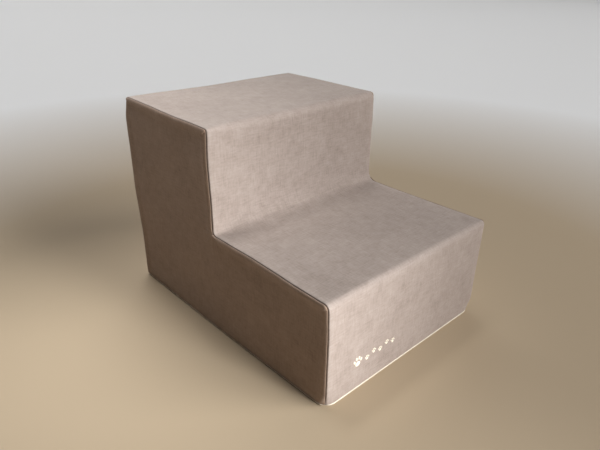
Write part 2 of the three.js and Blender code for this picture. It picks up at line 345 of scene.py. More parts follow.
def simulate(points, held, outward, cap):
    """Blows up a grid of cloth that is held where held is true, and gives how far each point moved.
    points and outward are (rows, columns, 3). Inward movement is dropped, because the foam is there."""
    faces = [f for f in grid_faces(*points.shape[:2]) if not all(held.reshape(-1)[list(f)])]
    mesh = bpy.data.meshes.new("slack")
    mesh.from_pydata([tuple(p) for p in points.reshape(-1, 3)], [], faces)
    obj = bpy.data.objects.new("slack", mesh)
    bpy.context.scene.collection.objects.link(obj)
    group = obj.vertex_groups.new(name="held")
    group.add([int(i) for i in np.flatnonzero(held.reshape(-1))], 1.0, "REPLACE")
    cloth = obj.modifiers.new("cloth", "CLOTH")
    for name, value in CLOTH_SETTINGS.items():
        setattr(cloth.settings, name, value)
    cloth.settings.effector_weights.gravity = 0.3
    cloth.collision_settings.use_collision = False
    cloth.point_cache.frame_start, cloth.point_cache.frame_end = 1, SIM_FRAMES
    for f in range(1, SIM_FRAMES + 1):
        bpy.context.scene.frame_set(f)
    graph = bpy.context.evaluated_depsgraph_get()
    done = obj.evaluated_get(graph).to_mesh()
    moved = np.array([v.co[:] for v in done.vertices]).reshape(points.shape)
    bpy.data.objects.remove(obj)
    bpy.context.scene.frame_set(1)
    shift = moved - points
    lift = (shift * outward).sum(axis=2, keepdims=True)
    shift += outward * (np.maximum(lift, 0) - lift)
    size = np.linalg.norm(shift, axis=2, keepdims=True)
    return shift * cap * np.tanh(size / cap) / np.maximum(size, 1e-9)


def blurred(values, times):
    """Rounds off the facets that come from a coarser grid."""
    for _ in range(times):
        for axis in (0, 1):
            v = np.moveaxis(values, axis, 0)
            v[1:-1] = (v[:-2] + 2 * v[1:-1] + v[2:]) / 4
    return values


def sampled(shift, us, vs, u, v):
    """Reads a grid of movements, laid out over us and vs, at the places u and v."""
    i = np.clip(np.searchsorted(us, u) - 1, 0, len(us) - 2)
    j = np.clip(np.searchsorted(vs, v) - 1, 0, len(vs) - 2)
    a = np.clip((u - us[i]) / (us[i + 1] - us[i]), 0, 1)[..., None]
    b = np.clip((v - vs[j]) / (vs[j + 1] - vs[j]), 0, 1)[..., None]
    low = shift[i, j] * (1 - b) + shift[i, j + 1] * b
    high = shift[i + 1, j] * (1 - b) + shift[i + 1, j + 1] * b
    return low * (1 - a) + high * a


# ---------------------- materials
class Shader:
    """A material with a Principled shader, and short ways to add nodes to it."""

    def __init__(self, name, roughness=0.8, metallic=0.0, sheen=0.0, specular=0.35):
        self.material = bpy.data.materials.new(name)
        self.material.use_nodes = True
        self.tree = self.material.node_tree
        self.main = self.tree.nodes["Principled BSDF"]
        plain = {"Roughness": roughness, "Metallic": metallic, "Specular IOR Level": specular}
        for name, value in {**plain, "Sheen Weight": sheen, "Sheen Roughness": 0.45}.items():
            self.main.inputs[name].default_value = value

    def put(self, socket, value):
        if isinstance(value, bpy.types.NodeSocket):
            self.tree.links.new(value, socket)
        elif value is not None:
            socket.default_value = value

    def node(self, kind, **settings):
        node = self.tree.nodes.new("ShaderNode" + kind)
        for name, value in settings.items():
            setattr(node, name, value)
        return node

    def math(self, operation, a, b=None):
        node = self.node("Math", operation=operation)
        self.put(node.inputs[0], a)
        self.put(node.inputs[1], b)
        return node.outputs[0]

    def plus(self, a, *more):
        for b in more:
            a = self.math("ADD", a, b)
        return a

    def times(self, a, b):
        return self.math("MULTIPLY", a, b)

    def spot(self):
        return self.node("TexCoord").outputs["Object"]

    def scaled(self, value, low, high):
        """Maps 0 to 1 onto low to high."""
        return self.plus(self.times(value, high - low), low)

    def flat(self, across, along):
        """A coordinate in metres along each of two lists of axes, from the object's own place."""
        split = self.node("SeparateXYZ")
        self.put(split.inputs[0], self.spot())
        return [self.plus(*(split.outputs[axis] for axis in axes)) for axes in (across, along)]

    def joined(self, u, v):
        node = self.node("CombineXYZ")
        self.put(node.inputs[0], u)
        self.put(node.inputs[1], v)
        return node.outputs[0]

    def noise(self, where, scale, detail=3, rough=0.6):
        node = self.node("TexNoise")
        self.put(node.inputs["Vector"], where or self.spot())
        node.inputs["Scale"].default_value = scale
        node.inputs["Detail"].default_value = detail
        node.inputs["Roughness"].default_value = rough
        return node.outputs["Fac"]

    def cells(self, scale):
        node = self.node("TexVoronoi")
        self.put(node.inputs["Vector"], self.spot())
        node.inputs["Scale"].default_value = scale
        return node.outputs["Distance"]

    def weave(self, u, v, pitch):
        """Threads that pass over and under each other."""
        turns = 2 * math.pi / pitch
        over, under = (self.math("SINE", self.times(w, turns)) for w in (u, v))
        return self.scaled(self.times(over, under), 0.5, 1.0)

    def colours(self, value, *stops):
        ramp = self.node("ValToRGB")
        self.put(ramp.inputs[0], value)
        while len(ramp.color_ramp.elements) < len(stops):
            ramp.color_ramp.elements.new(0.5)
        for element, (place, colour) in zip(ramp.color_ramp.elements, stops):
            element.position = place
            element.color = (*colour, 1)
        self.put(self.main.inputs["Base Color"], ramp.outputs[0])

    def bump(self, height, depth, strength=0.6):
        node = self.node("Bump")
        node.inputs["Distance"].default_value = depth
        node.inputs["Strength"].default_value = strength
        self.put(node.inputs["Height"], height)
        self.put(self.main.inputs["Normal"], node.outputs[0])

    def attribute(self, name):
        return self.node("Attribute", attribute_name=name).outputs["Fac"]


DARK_TAUPE = (0.225, 0.178, 0.152)
TAUPE = (0.315, 0.257, 0.225)
LIGHT_TAUPE = (0.405, 0.340, 0.302)


def microsuede(name, across, along, painted_shade_tint=(1, 1, 1)):
    """Short-napped cloth over a fine weave. Its tone changes at random in patches with the lie of the nap; a
    painted_shade_tint below 1 darkens and warms all of it as painted shade.
    """
    s = Shader(name, roughness=0.92, sheen=0.35, specular=0.15)
    u, v = s.flat(across, along)
    where = s.joined(u, v)
    broad = s.noise(where, 9, 3, 0.55)
    patches = s.noise(where, 48)
    grain = s.noise(where, 260)
    fibres = s.noise(where, 900)
    weft = s.noise(s.joined(s.times(u, 0.14), v), 340)
    warp_threads = s.noise(s.joined(u, s.times(v, 0.14)), 340)
    weave = s.weave(u, v, 1.1 * MM)
    shares = [(broad, 0.3), (patches, 0.34), (grain, 0.22), (fibres, 0.08), (weft, 0.38)]
    shares += [(warp_threads, 0.38), (weave, 0.08)]
    # the nap is rubbed lighter along the folds and ridges
    worn = s.times(s.attribute("worn"), 0.1)
    shade = s.plus(worn, *(s.times(part, share) for part, share in shares))
    shade = s.plus(shade, 0.5 - sum(share for _, share in shares) / 2)
    stops = ((0.25, DARK_TAUPE), (0.5, TAUPE), (0.78, LIGHT_TAUPE))
    # painted shade: the tint scales every colour stop
    s.colours(shade, *((at, [a * b for a, b in zip(colour, painted_shade_tint)]) for at, colour in stops))
    s.bump(s.plus(s.times(weave, 0.5), fibres, weft, warp_threads), 0.22 * MM, 0.5)
    s.put(s.main.inputs["Roughness"], s.scaled(patches, 0.86, 0.98))
    s.main.inputs["Sheen Tint"].default_value = (0.93, 0.84, 0.78, 1)
    return s.material


def canvas(name, dark, light, pitch, roughness=0.9, axes=((0,), (1,))):
    s = Shader(name, roughness=roughness, sheen=0.15, specular=0.2)
    u, v = s.flat(*axes)
    where = s.joined(u, v)
    weave = s.weave(u, v, pitch)
    soil = s.noise(where, 30, 4, 0.6)
    fibres = s.noise(where, 1200, 2, 0.5)
    shade = s.plus(s.times(soil, 0.5), s.times(s.plus(weave, fibres), 0.25))
    s.colours(shade, (0.3, dark), (0.7, light))
    s.bump(s.plus(weave, s.times(fibres, 0.5)), 0.25 * MM)
    return s.material


def open_foam(name):
    s = Shader(name, roughness=1.0, sheen=0.1, specular=0.1)
    pores = s.cells(420)
    tone = s.noise(None, 14, 4, 0.6)
    shade = s.plus(s.times(tone, 0.6), s.times(pores, 0.4))
    s.colours(shade, (0.25, (0.66, 0.60, 0.43)), (0.65, (0.84, 0.80, 0.64)))
    s.bump(s.plus(pores, s.times(s.cells(1100), 0.4)), 0.7 * MM, 0.8)
    return s.material


def grained(name, dark, light, roughness, grain=600, depth=0.05, **more):
    """Moulded or spun material: a fine grain, and a little unevenness of tone and gloss."""
    s = Shader(name, roughness=roughness, **more)
    grains = s.noise(None, grain)
    tone = s.noise(None, grain / 12, 2, 0.5)
    s.colours(s.times(s.plus(grains, tone), 0.5), (0.3, dark), (0.7, light))
    s.put(s.main.inputs["Roughness"], s.scaled(grains, roughness - 0.08, roughness + 0.08))
    s.bump(grains, depth * MM, 0.5)
    return s.material


def brushed_zinc(name):
    s = Shader(name, roughness=0.35, metallic=1.0, specular=0.5)
    u, v = s.flat((0,), (2,))
    scratches = s.noise(s.joined(s.times(u, 0.06), v), 3500, 2, 0.6)
    tarnish = s.noise(None, 260)
    s.colours(tarnish, (0.3, (0.34, 0.31, 0.28)), (0.7, (0.52, 0.49, 0.46)))
    s.put(s.main.inputs["Roughness"], s.scaled(scratches, 0.25, 0.5))
    s.bump(scratches, 0.02 * MM, 0.4)
    return s.material


CLOTH_STRIP = microsuede("microsuede_strip", (0,), (1, 2))
# the sides are a darker, warmer copy of the same cloth: painted shade for the dim, warm light on the left
# side, given to both sides
CLOTH_SIDE_PAINTED_SHADE = microsuede("microsuede_side_painted_shade", (1,), (2,), painted_shade_tint=(0.92, 0.79, 0.665))
CLOTH_BACK = microsuede("microsuede_back", (0,), (2,))
BASE_CLOTH = canvas("base_canvas", (0.60, 0.52, 0.40), (0.84, 0.77, 0.66), 1.3 * MM)
RUBBER = grained("dot_rubber", (0.62, 0.56, 0.46), (0.74, 0.68, 0.58), 0.6)
FOAM = open_foam("open_cell_foam")
TAPE = canvas("zip_tape_twill", (0.10, 0.07, 0.05), (0.16, 0.115, 0.085), 0.6 * MM, axes=((0,), (2,)))
COIL = grained("coil_nylon", (0.075, 0.052, 0.038), (0.11, 0.078, 0.058), 0.38, specular=0.5)
THREAD = grained("polyester_thread", (0.20, 0.14, 0.105), (0.28, 0.205, 0.16), 0.55, sheen=0.2)
ZINC = brushed_zinc("plated_zinc")
SATIN = canvas("label_satin", (0.78, 0.76, 0.72), (0.88, 0.87, 0.84), 0.35 * MM, 0.45, ((0,), (2,)))
PRINT = grained("cream_print", (0.74, 0.66, 0.52), (0.86, 0.79, 0.66), 0.5, specular=0.4)


# ---------------------- the sewn cover
EDGE = [(a * MM, b * MM) for a, b in TUCK]
FOOT_TUCK = [(a - EDGE[0][0] + 0.4 * MM, b) for a, b in EDGE]  # height over the foot of the cover, and depth
PUCKER = 0.28 * MM
PUCKER_PITCH = 9 * MM
SEAM_REACH = 11 * MM  # how far from a seam its puckers and its wear are felt


def across_strip():
    """x and depth of each mesh line from the left seam to the right one."""
    edge = [(SIDE - a, b) for a, b in EDGE]
    inner = edge[-1][0]
    middle = [(x, 0.0) for x in spread(-inner, inner, PITCH)[1:-1]]
    return np.array([(-x, b) for x, b in edge] + middle + edge[::-1])


def puckers(run, seed):
    """The small waves that stitching leaves along a seam, -1 to 1, by distance along it."""
    spots = [Vector((r / PUCKER_PITCH, seed * 11.3, 0)) for r in np.ravel(run)]
    return np.array([noise.noise(spot) for spot in spots]).reshape(np.shape(run))


def corner_gathers(y, z, inner, reach, folds):
    """Folds that radiate from the inner corner of the side outline, strongest at the distance inner."""
    dy, dz = y - RISER, z - STEP
    r, angle = np.hypot(dy, dz), np.arctan2(dz, dy)
    size = fading(r - inner, reach) * smooth(r, 0.002, inner)
    return size * np.cos(folds * angle + 0.8)


def near_side_seams(x, depth):
    """1 beside the left and right seams, on the face of the cloth."""
    return fading(SIDE - np.abs(x), SEAM_REACH) * (depth < MM)


def wear(obj, values):
    """Stores how far the nap is rubbed at each vertex."""
    layer = obj.data.attributes.new("worn", "FLOAT", "POINT")
    layer.data.foreach_set("value", np.asarray(values, np.float32))


def strip_rows():
    """Distance along the strip and depth of each mesh line, from the foot of the front to the rear seam."""
    path, _ = outline(strip_corners(FOLDS), closed=False)
    hem = EDGE[-1][0] + MM
    flat = [(r, 0.0) for r in run_along(path) if hem < r < STRIP_LENGTH - hem]
    return np.array(FOOT_TUCK + flat + [(STRIP_LENGTH - a, b) for a, b in EDGE[::-1]])


def strip_slack(run, x):
    """How far the cloth of the strip moves as it slackens, from a coarser grid of the same strip."""
    rows, columns = coarse(0, STRIP_LENGTH), coarse(-SIDE, SIDE)
    across, along = np.meshgrid(columns, rows)
    place, facing = on_strip(along, across)
    grid = np.stack([across, *place], axis=2)
    outward = np.stack([np.zeros_like(across), *facing], axis=2)
    held = np.zeros(grid.shape[:2], bool)
    held[[0, -1], :] = held[:, [0, -1]] = True
    return sampled(simulate(grid, held, outward, SLACK[0]), rows, columns, run, x)


def step_strip():
    """The one panel over the front, both treads and the riser."""
    rows, columns = strip_rows(), across_strip()
    run, x = np.meshgrid(rows[:, 0], columns[:, 0], indexing="ij")
    depth = np.maximum.outer(rows[:, 1], columns[:, 1])
    (y, z), normal = on_strip(run, x)
    verts = np.stack([x, *((y, z) - normal * depth)], axis=2)
    verts += blurred(strip_slack(run, x), 3) * (depth < 0.1 * MM)[..., None]
    seam = near_side_seams(x, depth)
    wave = seam * PUCKER * puckers(run + np.sign(x), 1)
    wave += seam * 0.4 * MM * corner_gathers(y, z, 8 * MM, 12 * MM, 7)
    verts[..., 1:] += np.moveaxis(normal * wave, 0, 2)
    folded = sum(fading(np.hypot(y - fy, z - fz), 12 * MM) for fy, fz in ((FRONT, STEP), (RISER, HEIGHT)))
    obj = finished("cover_strip_cloth", warp(verts.reshape(-1, 3)), grid_faces(*x.shape), CLOTH_STRIP)
    wear(obj, (folded + 0.7 * seam).ravel())
    return thickened(obj)


def from_outline(y, z):
    """Distance from the edge of the side outline."""
    spots = np.array([c[:2] for c in side_corners(FOLDS)])
    best = np.full(np.shape(y), np.inf)
    for a, b in zip(spots, np.roll(spots, -1, axis=0)):
        line = b - a
        t = np.clip(((y - a[0]) * line[0] + (z - a[1]) * line[1]) / (line @ line), 0, 1)
        best = np.minimum(best, np.hypot(y - a[0] - t * line[0], z - a[1] - t * line[1]))
    return best


def inside_outline(y, z):
    return (y > FRONT) & (y < BACK) & (z > FOOT) & (z < np.where(y < RISER, STEP, HEIGHT))


FOOT_FADES = (FOOT, FOOT + 12 * MM)  # heights between which a side panel comes to stand out


def side_ring(corners, level, upright, side):
    """One line round a side panel, between its sections for level and for upright edges."""
    ring, normals = outline(corners, inset=level[1] * MM)
    other, _ = outline(corners, inset=upright[1] * MM)
    share = smooth(np.maximum(normals[:, 1], 0.55 * normals[:, 0]), 0.2, 0.9)
    ring = ring * share[:, None] + other * (1 - share[:, None])
    ring[:, 1] -= 0.6 * MM * upright[1] * smooth(-normals[:, 1], 0.2, 0.9)  # closer to the floor
    swell = 0.35 * MM * puckers(run_along(ring), 5 + side) * smooth(level[1], 0.5, 3)
    sunk = MM * (level[0] * share + upright[0] * (1 - share))
    sunk = np.maximum(sunk, 0) + np.minimum(sunk, 0) * smooth(ring[:, 1], *FOOT_FADES)
    return np.column_stack([side * (SIDE - sunk + swell), ring])


def side_slack(side, y, z):
    """How far the cloth of a side moves as it slackens: by very little, and almost all in its own plane."""
    ys, zs = coarse(FRONT, BACK), coarse(FOOT, HEIGHT)
    gy, gz = np.meshgrid(ys, zs, indexing="ij")
    grid = np.stack([np.full(gy.shape, side * SIDE), gy, gz], axis=2)
    held = ~inside_outline(gy, gz) | (from_outline(gy, gz) < 12 * MM)
    turn = slice(None, None, side)
    shift = simulate(grid[turn], held[turn], np.zeros_like(grid) + (side, 0, 0), SLACK[1])
    return sampled(blurred(shift[turn], 2), ys, zs, y, z)


def side_panel(side, name):
    """A side, from the lip along its seam to a flat middle of triangles."""
    corners = side_corners(TIGHT_FOLDS if side < 0 else FOLDS)
    rings = [side_ring(corners, level, upright, side) for level, upright in zip(LIP_LEVEL, LIP_UPRIGHT)]
    lip, count = np.concatenate(rings), len(rings[0])
    faces = grid_faces(len(rings), count, flip=side > 0, closed=True)

    pitch = 0.8 * PITCH
    y, z = (g.ravel() for g in np.meshgrid(np.arange(FRONT, BACK, pitch), np.arange(FOOT, HEIGHT, pitch)))
    keep = inside_outline(y, z) & (from_outline(y, z) > LIP_END + 2.5 * MM)
    inner = np.column_stack([y[keep], z[keep]])
    points = [Vector(p) for p in np.concatenate([rings[-1][:, 1:], inner])]
    loop = [(i, (i + 1) % count) for i in range(count)]
    _, _, triangles, _, _, _ = delaunay_2d_cdt(points, loop, [], 1, 1e-7)
    start = len(lip) - count
    faces += [tuple(start + i for i in (t if side > 0 else t[::-1])) for t in triangles]

    out = RIDGE[0] + (RIDGE[1] - RIDGE[0]) * smooth(from_outline(*inner.T), *RIDGE_SLOPE)
    out *= smooth(inner[:, 1], *FOOT_FADES)
    verts = np.concatenate([lip, np.column_stack([side * (SIDE + out), inner])])
    y, z = verts[:, 1], verts[:, 2]
    away = np.where(np.arange(len(verts)) < len(lip), 0, from_outline(y, z))
    verts += side_slack(side, y, z) * smooth(away, 10 * MM, 20 * MM)[:, None]

    # gathers at the inner corner, and tucks by the foot near the back
    outside = SIDE - np.abs(verts[:, 0]) < 0.2 * MM
    folds = 1.0 * MM * corner_gathers(y, z, 10 * MM, 12 * MM, 9)
    tucks = 0.9 * MM * np.cos(2 * math.pi * (y + 0.3 * z) / (11 * MM))
    tucks *= fading(y - BACK + 0.07, 22 * MM) * fading(z - 6 * MM, 11 * MM)
    verts[:, 0] += side * (folds + tucks) * outside
    obj = finished(name, warp(verts), faces, CLOTH_SIDE_PAINTED_SHADE)
    wear(obj, fading(from_outline(y, z) - 4 * MM, 6 * MM))
    return thickened(obj)


# Sections at the hems along the zip: distance from the hem, and depth.
HEM_EDGE = [(0.15, 1.6), (0, 1.0), (0.12, 0.45), (0.5, 0.1), (1.2, 0), (3, 0)]
STITCH_DIP = [(4.8, 0), (5.6, 0.15), (6.0, 0.3), (6.4, 0.15), (7.2, 0), (9, 0)]
HEM = [(a * MM, b * MM) for a, b in HEM_EDGE + STITCH_DIP]
STITCH_LINE = 6 * MM  # the row of topstitching lies this far from the hem


def back_slack(z, x):
    """How far the cloth of the back panel moves as it slackens, from a coarser grid."""
    zs, xs = coarse(UPPER_HEM, HEIGHT), coarse(-SIDE, SIDE)
    gz, gx = np.meshgrid(zs, xs[::-1], indexing="ij")  # from right to left, so that the cloth faces out
    held = (gz < UPPER_HEM + 30 * MM) | (gz > HEIGHT - 10 * MM) | (abs(gx) > SIDE - 10 * MM)
    grid = np.stack([gx, np.full(gx.shape, BACK), gz], axis=2)
    outward = np.zeros_like(grid) + (0, 1, 0)
    return sampled(simulate(grid, held, outward, SLACK[1])[:, ::-1], zs, xs, z, x)


def back_grid(rows, name, seed, slack=False):
    """Cloth on the back: rows are (z, depth), from the bottom to the top. A ridge has a depth below 0."""
    rows, columns = np.array(rows), across_strip()[::-1]
    z, x = np.meshgrid(rows[:, 0], columns[:, 0], indexing="ij")
    by_row, by_column = np.meshgrid(rows[:, 1], columns[:, 1], indexing="ij")
    ridge = np.minimum(by_row, 0) * smooth(SIDE - np.abs(x), 1 * MM, 12 * MM)
    depth = ridge + np.maximum(np.maximum(by_row, 0), by_column)
    verts = np.stack([x, BACK - depth, z], axis=2)
    if slack:
        verts += blurred(back_slack(z, x), 3) * (depth < 0.2 * MM)[..., None]
    seam = near_side_seams(x, depth)
    verts[..., 1] += seam * PUCKER * puckers(z + np.sign(x), seed)
    obj = finished(name, warp(verts.reshape(-1, 3)), grid_faces(*x.shape), CLOTH_BACK)
    wear(obj, (0.7 * seam).ravel())
    return thickened(obj)


def back_panel():
    """From the zip up to the top edge, where it rolls into the seam."""
    low = [(UPPER_HEM + a, b) for a, b in HEM]
    top = [(HEIGHT - depth * MM, a * MM) for a, depth in LIP_LEVEL[::-1]]
    middle = spread(low[-1][0], top[0][0], PITCH)[1:-1]
    ridge = RIDGE[0] * (1 - smooth(HEIGHT - middle, LIP_END, 2 * LIP_END))
    return back_grid(low + list(zip(middle, -ridge)) + top, "cover_back_cloth", 3, slack=True)


def back_lower_strip():
    """From the foot of the cover up to the zip."""
    low = [(FOOT + a, b) for a, b in FOOT_TUCK]
    top = [(LOWER_HEM - a, b) for a, b in HEM[::-1]]
    middle = [(z, 0.0) for z in spread(low[-1][0], top[0][0], PITCH)[1:-1]]
    return back_grid(low + middle + top, "cover_back_lower_cloth", 4)


# ---------------------- base
BASE_CORNER = 13 * MM
# Section of the base: inset from the floor outline and height, in mm. Its edge stands up round a flat sheet.
BASE_EDGE = [(9, 3.0), (5.5, 3.0), (4.6, 2.8), (3.4, 2.9), (1.6, 3.2), (0.5, 2.8), (0, 2.0), (0.2, 1.1),
             (1.0, 0.6), (2.6, 0.5), (6, 0.5), (9, 0.5)]
SHEET_PITCH = 16 * MM
SHEET_END = 14 * MM
DOT_PITCH = 12 * MM
DOT_RADIUS = 2.2 * MM
DOT_RINGS = [(1.0, 0.5 * MM), (0.92, 0.15 * MM), (0.6, 0.02 * MM)]  # share of the radius, and height
DOTS_END = 20 * MM


def plan(inset, steps=8, pitch=8 * MM):
    """The floor outline, as points in (x, y), anticlockwise from above."""
    radius = max(BASE_CORNER - inset, 0.5 * MM)
    x, lows = SIDE - inset - radius, (FRONT + inset + radius, BACK - inset - radius)
    corners = [(x, lows[0], -90), (x, lows[1], 0), (-x, lows[1], 90), (-x, lows[0], 180)]

    def on_arc(corner, turned):
        a = math.radians(corner[2] + turned)
        return np.array((corner[0] + radius * math.cos(a), corner[1] + radius * math.sin(a)))

    points = []
    for k, corner in enumerate(corners):
        points += [on_arc(corner, 90 * i / steps) for i in range(steps + 1)]
        end, goal = points[-1], on_arc(corners[(k + 1) % 4], 0)
        number = int(2 * (SIDE if k % 2 else BACK) / pitch)
        points += [end + (goal - end) * i / number for i in range(1, number)]
    return points


def base_cloth():
    """The sheet under the stairs, with its edge rolled up round the foot of the cover."""
    rings = [[(x, y, z * MM) for x, y in plan(inset * MM)] for inset, z in BASE_EDGE]
    count = len(rings[0])
    verts = [v for ring in rings for v in ring]
    faces = [f[::-1] for f in grid_faces(len(rings), count, closed=True)]
    xs, ys = np.arange(-SIDE, SIDE, SHEET_PITCH), np.arange(FRONT, BACK, SHEET_PITCH)
    xs = xs[abs(xs) < SIDE - SHEET_END]
    ys = ys[(ys > FRONT + SHEET_END) & (ys < BACK - SHEET_END)]
    inner = [Vector((x, y)) for x in xs for y in ys]
    loop = [(i, (i + 1) % count) for i in range(count)]
    for ring, up in ((0, True), (len(rings) - 1, False)):
        outer = [Vector(v[:2]) for v in rings[ring]]
        _, _, triangles, _, _, _ = delaunay_2d_cdt(outer + inner, loop, [], 1, 1e-7)
        index = [*range(ring * count, ring * count + count), *range(len(verts), len(verts) + len(inner))]
        verts += [(p.x, p.y, BASE_EDGE[ring][1] * MM) for p in inner]
        faces += [tuple(index[i] for i in (t if up else t[::-1])) for t in triangles]
    return finished("base_cloth", warp(verts), faces, BASE_CLOTH)


def base_dots():
    """Rubber dots in staggered rows, flush with the floor."""
    spots, apart = [], DOT_PITCH * 0.866
    for row in range(int((BACK - FRONT - 2 * DOTS_END) / apart)):
        x = -SIDE + DOTS_END + (row % 2) * DOT_PITCH / 2
        while x < SIDE - DOTS_END:
            spots.append((x, FRONT + DOTS_END + row * apart))
            x += DOT_PITCH
    sides = 10
    faces = [f[::-1] for f in grid_faces(len(DOT_RINGS), sides, closed=True)]
    faces += [tuple(range(sides)), tuple(range(len(DOT_RINGS) * sides))[:-sides - 1:-1]]
    rings = [(share * DOT_RADIUS, z) for share, z in DOT_RINGS]
    dot = [(r * c, r * s, z) for r, z in rings for c, s in circle(sides)]
    return many("base_dots", [([(x + dx, y + dy, z) for dx, dy, z in dot], faces) for x, y in spots], RUBBER)


# ---------------------- foam
FOAM_INSET = 0.8 * MM  # clear of the cloth
FOAM_RADIUS = 10 * MM
FOAM_PITCH = 24 * MM
EDGE_CUTS = [1 * MM, 2.5 * MM, 4.5 * MM, 7 * MM, 10 * MM]


def cut_block(name, low, high):
    """A box as a mesh of even cells, finer near its edges."""
    mesh = bmesh.new()
    bmesh.ops.create_cube(mesh, size=1)
    size = high - low
    for v in mesh.verts:
        v.co = Vector(low + (np.array(v.co) + 0.5) * size)
    for axis in range(3):
        number = max(int(size[axis] / FOAM_PITCH), 2)
        cuts = [low[axis] + e for e in EDGE_CUTS] + [high[axis] - e for e in EDGE_CUTS]
        cuts += [low[axis] + size[axis] * k / number for k in range(1, number)]
        direction = Vector([float(axis == i) for i in range(3)])
        for cut in cuts:
            whole = mesh.verts[:] + mesh.edges[:] + mesh.faces[:]
            bmesh.ops.bisect_plane(mesh, geom=whole, plane_co=direction * cut, plane_no=direction)
    data = bpy.data.meshes.new(name)
    mesh.to_mesh(data)
    mesh.free()
    return data


def foam_block(node, name):
    """A block of foam with the node's size, its edges rubbed round and its cut faces uneven."""
    low, high = (np.array(corner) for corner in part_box(node))
    mesh = cut_block(name, low + FOAM_INSET, high - FOAM_INSET)
    points = np.array([v.co[:] for v in mesh.vertices])
    middle, half = (low + high) / 2, (high - low) / 2 - FOAM_INSET
    for axes in ((0, 1), (0, 2), (1, 2)):
        # slide what lies outside a rounded corner in these two axes back onto it
        flat = half[list(axes)] - FOAM_RADIUS
        away = np.abs(points - middle)[:, axes] - flat
        beyond = (away > 0).all(axis=1)
        length = np.hypot(*away[beyond].T)
        scale = np.where(length > FOAM_RADIUS, FOAM_RADIUS / np.maximum(length, 1e-9), 1)
        sign = np.sign(points - middle)
        for i, axis in enumerate(axes):
            points[beyond, axis] = middle[axis] + sign[beyond, axis] * (flat[i] + away[beyond, i] * scale)
    points += 0.25 * MM * np.array([noise.noise_vector(Vector(p) / 0.02)[:] for p in points])
    mesh.vertices.foreach_set("co", warp(points).ravel())
    return shown(name, mesh, FOAM)


# ---------------------- zip, label and print
def tube(points, radius):
    """Verts and faces of a thread or wire along a list of points."""
    points = np.array(points, float)
    ahead = np.gradient(points, axis=0)
    ahead /= np.linalg.norm(ahead, axis=1, keepdims=True)
    side = np.cross(ahead, (0.31, 0.87, 0.39))
    side /= np.linalg.norm(side, axis=1, keepdims=True)
    up = np.cross(side, ahead)
    sides = 6
    verts = [p + radius * (a * s + b * u) for p, s, u in zip(points, side, up) for a, b in circle(sides)]
    faces = grid_faces(len(points), sides, closed=True, flip=True)
    faces += [tuple(range(sides)), tuple(len(verts) - 1 - k for k in range(sides))]
    return verts, faces


STITCH, STITCH_GAP, STITCH_RADIUS = 2.7 * MM, 0.6 * MM, 0.2 * MM
# A stitch seen from the side: along it in its lengths, and up from the cloth in its radii.
STITCH_BEND = [(-0.5, -1.2), (-0.42, -0.1), (-0.15, 0.5), (0.15, 0.5), (0.42, -0.1), (0.5, -1.2)]


def topstitching(name, z):
    """A row of stitches across the back, each sunk in the cloth at both ends."""
    end, y = SIDE - 9 * MM, BACK - 0.25 * MM
    number = int(2 * end / (STITCH + STITCH_GAP))
    parts = []
    for k in range(number):
        x = -end + 2 * end * (k + 0.5) / number
        bend = [(x + STITCH * t, y + STITCH_RADIUS * h, z) for t, h in STITCH_BEND]
        parts.append(tube(bend, STITCH_RADIUS))
    return many(name, parts, THREAD)


# Section of the tape: height from the middle of the zip and lift, in mm, with a thicker cord by the coil.
TAPE_SECTION = [(0.6, 0.0), (0.75, 0.3), (3.2, 0.3), (3.6, 0.0), (8.0, 0.0), (13.4, 0.0), (14.2, 0.0)]
TAPE_THICKNESS = 0.28 * MM
TAPE_INSET = 0.3 * MM


def zip_tape(sign, name):
    node = f"zip_tape_{name}"
    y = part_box(node)[1].y - TAPE_INSET
    end = SIDE - EDGE[0][0]  # caught in the side seams
    xs = spread(-end, end, 6 * MM)
    verts = [(x, y + lift * MM, ZIP_HEIGHT + sign * z * MM) for x in xs for z, lift in TAPE_SECTION]
    faces = grid_faces(len(xs), len(TAPE_SECTION), flip=sign < 0)
    return thickened(finished(f"{node}_woven", verts, faces, TAPE), TAPE_THICKNESS)


COIL_PITCH = 1.3 * MM
COIL_REACH = 1.0 * MM
CHAIN_GAP = 0.36 * MM  # from the middle of the zip to the wire
WIRE = 0.27 * MM


def zip_coil(sign, name):
    """One side of the chain: a flattened spiral of nylon."""
    low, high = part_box(f"zip_coil_{name}")
    y, depth = (low.y + high.y) / 2, (high.y - low.y) / 2 - WIRE
    middle = ZIP_HEIGHT + sign * (CHAIN_GAP + WIRE + COIL_REACH)
    start = low.x + WIRE + (COIL_PITCH / 4 if sign < 0 else 0)
    turns, steps = int((high.x - low.x - 2 * WIRE) / COIL_PITCH), 10
    points = []
    for k in range(turns * steps + 1):
        a = 2 * math.pi * k / steps
        z = middle - sign * COIL_REACH * math.cos(a)
        points.append((start + COIL_PITCH * k / steps, y + depth * math.sin(a), z))
    return many(f"zip_coil_{name}_wire", [tube(points, WIRE)], COIL)


# A stitch of a bar tack: along it from -1 to 1, and up from its middle in mm.
TACK_BEND = [(-1.0, -0.9), (-0.93, -0.2), (-0.5, 0.15), (0, 0.25), (0.5, 0.15), (0.93, -0.2), (1.0, -0.9)]
TACK_STITCHES = 8


def bar_tack(name):
    """Close zigzag stitches that lock the end of the chain."""
    low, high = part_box(f"zip_bar_tack_{name}")
    y, half, parts = (low.y + high.y) / 2, (high.z - low.z) / 2, []
    for k in range(TACK_STITCHES):
        x = low.x + (high.x - low.x) * (k + 0.5) / TACK_STITCHES
        lean = 0.25 * MM * (-1) ** k
        points = [(x + lean * t, y + h * MM, ZIP_HEIGHT + t * half) for t, h in TACK_BEND]
        parts.append(tube(points, 0.17 * MM))
    return many(f"zip_bar_tack_{name}_stitches", parts, THREAD)


